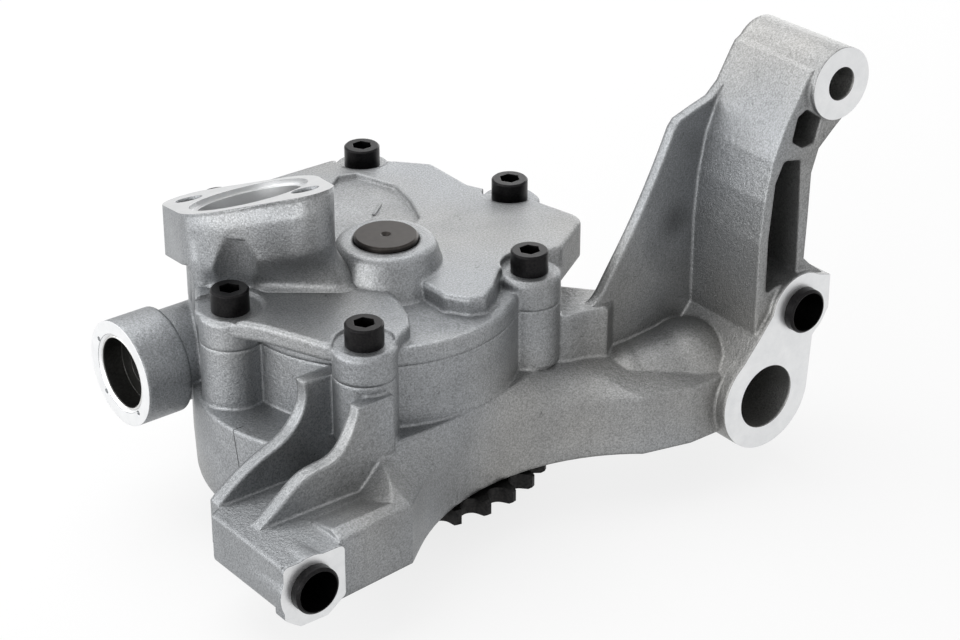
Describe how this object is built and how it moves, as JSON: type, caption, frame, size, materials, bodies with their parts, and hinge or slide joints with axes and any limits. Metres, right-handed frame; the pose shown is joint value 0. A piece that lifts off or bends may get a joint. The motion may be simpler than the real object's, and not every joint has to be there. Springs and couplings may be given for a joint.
{
  "type": "engine oil pump",
  "caption": "Chain-driven internal-gear engine oil pump: cast housing with a bracket arm, bolted cover with a sloping suction flange, relief valve and black sprocket.",
  "frame": {"origin": "on the drive shaft's axis, at the underside of the sprocket's washer", "axes": "+Z along the shaft towards the cover, -Y out of the face that bolts to the engine block, -X out of the relief valve's bore"},
  "size_m": [0.1896, 0.1259, 0.1177],
  "materials": {
    "cast": "fine-grained pressure-cast aluminium with machined faces",
    "steel": "ground steel",
    "shaft": "hardened steel, dark warm grey",
    "black": "black-oxide steel",
    "sinter": "sintered steel",
    "bronze": "sintered bronze",
    "spring": "spring steel wire"
  },
  "bodies": {
    "pump_body": {"housing": "cast", "cover": "cast", "cover_screws": "black", "cover_dowels": "steel", "housing_bush": "bronze", "cover_bush": "bronze", "relief_spring": "spring", "relief_spring_seat": "steel", "relief_retainer": "steel", "dowel_sleeve_left": "black", "dowel_sleeve_right": "black"},
    "shaft_set": {"drive_shaft": "shaft", "inner_rotor": "sinter", "rotor_drive_pin": "steel", "sprocket": "black", "thrust_washer": "steel", "sprocket_washer": "black", "sprocket_bolt": "black"},
    "outer_ring": {"outer_rotor": "sinter"},
    "relief_valve": {"relief_piston": "steel"}
  },
  "joints": [
    {"name": "shaft_spin", "type": "hinge", "parent": "pump_body", "child": "shaft_set", "pos_m": [0, 0, 0], "axis": [0, 0, 1], "continuous": true},
    {"name": "ring_spin", "type": "hinge", "parent": "pump_body", "child": "outer_ring", "pos_m": [-0.0035, 0, 0.024], "axis": [0, 0, 1], "continuous": true},
    {"name": "relief_slide", "type": "slide", "parent": "pump_body", "child": "relief_valve", "axis": [-1, 0, 0], "range_m": [0, 0.008], "stiffness_N_per_m": 2000, "springref_m": -0.004, "deforming": ["relief_spring"]}
  ],
  "couplings": [
    {"joint": "ring_spin", "follows": "shaft_spin", "ratio": 0.85714}
  ]
}
